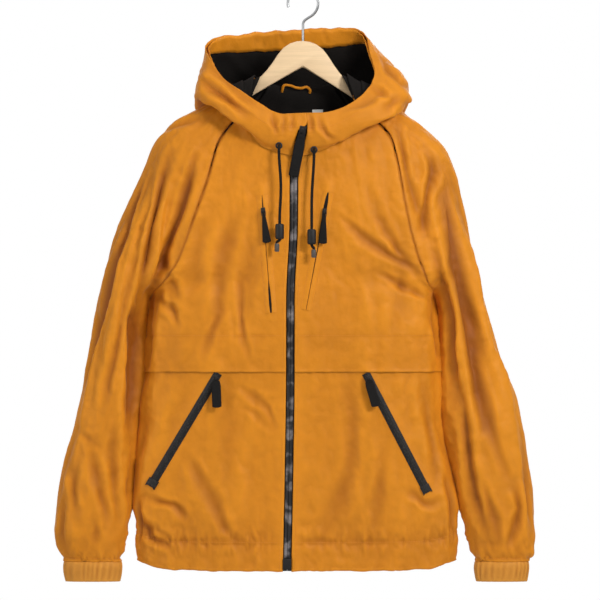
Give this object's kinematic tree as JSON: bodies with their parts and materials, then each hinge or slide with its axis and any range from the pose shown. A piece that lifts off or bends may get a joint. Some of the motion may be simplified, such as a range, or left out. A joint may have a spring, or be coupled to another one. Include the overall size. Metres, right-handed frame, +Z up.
{
  "type": "hooded windbreaker on a hanger",
  "caption": "Zip-front hooded windbreaker with raglan sleeves, zipped pockets, hood drawcords and elastic cuffs, hanging on a flat wooden hanger.",
  "frame": {"origin": "inside top of the hanger's hook, where a rail carries it", "axes": "+Z up, front of the jacket towards -Y, the wearer's left towards +X"},
  "size_m": [0.726, 0.1867, 0.8958],
  "materials": {
    "shell": "woven nylon with a soft sheen",
    "lining": "black mesh",
    "wood": "satin lacquer",
    "steel": "polished",
    "black_cloth": "woven tape",
    "black_cord": "braided",
    "black_plastic": "moulded",
    "black_metal": "black lacquer",
    "grey_plastic": "moulded",
    "label": "blank woven tape"
  },
  "bodies": {
    "jacket": {"back": "shell", "back_lining": "lining", "chest_left_slider": "black_metal", "chest_pocket_lip_left": "shell", "chest_pocket_lip_right": "shell", "chest_pocket_zip_left": "black_cloth", "chest_pocket_zip_right": "black_cloth", "chest_right_slider": "black_metal", "cord_lock_left": "black_plastic", "cord_lock_right": "black_plastic", "cord_tip_left": "grey_plastic", "cord_tip_right": "grey_plastic", "cuff_left": "shell", "cuff_right": "shell", "drawcord_left": "black_cord", "drawcord_right": "black_cord", "eyelet_left": "black_metal", "eyelet_right": "black_metal", "front_lower_left": "shell", "front_lower_right": "shell", "front_upper_left": "shell", "front_upper_right": "shell", "hand_left_slider": "black_metal", "hand_pocket_stop_left": "black_cloth", "hand_pocket_stop_right": "black_cloth", "hand_pocket_zip_left": "black_cloth", "hand_pocket_zip_right": "black_cloth", "hand_right_slider": "black_metal", "hang_loop": "shell", "hanger_wood": "wood", "hood_facing": "shell", "hood_left": "shell", "hood_lining": "lining", "hood_right": "shell", "hook_wire": "steel", "neck_label": "label", "sleeve_back_left": "shell", "sleeve_back_right": "shell", "sleeve_front_left": "shell", "sleeve_front_right": "shell", "zip_box": "black_plastic", "zip_coil": "black_plastic", "zip_slider": "black_metal", "zip_tape_left": "black_cloth", "zip_tape_right": "black_cloth"},
    "front_zip_pull": {"zip_link": "black_metal", "zip_tab": "black_cloth"},
    "chest_zip_pull_right": {"chest_right_link": "black_metal", "chest_right_tab": "black_cloth"},
    "chest_zip_pull_left": {"chest_left_link": "black_metal", "chest_left_tab": "black_cloth"},
    "hand_zip_pull_right": {"hand_right_link": "black_metal", "hand_right_tab": "black_cloth"},
    "hand_zip_pull_left": {"hand_left_link": "black_metal", "hand_left_tab": "black_cloth"}
  },
  "joints": [
    {"name": "front_zip_pull_swing", "type": "hinge", "parent": "jacket", "child": "front_zip_pull", "pos_m": [-0.00076, -0.07479, -0.21458], "axis": [-0.9808, 0, 0.195], "range_deg": [0, 150]},
    {"name": "chest_zip_pull_right_swing", "type": "hinge", "parent": "jacket", "child": "chest_zip_pull_right", "pos_m": [-0.05974, -0.06778, -0.33388], "axis": [-0.9929, 0, -0.1191], "range_deg": [0, 150]},
    {"name": "chest_zip_pull_left_swing", "type": "hinge", "parent": "jacket", "child": "chest_zip_pull_left", "pos_m": [0.03222, -0.06727, -0.33516], "axis": [-0.9982, 0, 0.0599], "range_deg": [0, 150]},
    {"name": "hand_zip_pull_right_swing", "type": "hinge", "parent": "jacket", "child": "hand_zip_pull_right", "pos_m": [-0.1306, -0.06007, -0.58468], "axis": [-0.9992, 0, -0.04], "range_deg": [0, 150]},
    {"name": "hand_zip_pull_left_swing", "type": "hinge", "parent": "jacket", "child": "hand_zip_pull_left", "pos_m": [0.09728, -0.06004, -0.58487], "axis": [-0.9578, 0, -0.2873], "range_deg": [0, 150]}
  ]
}
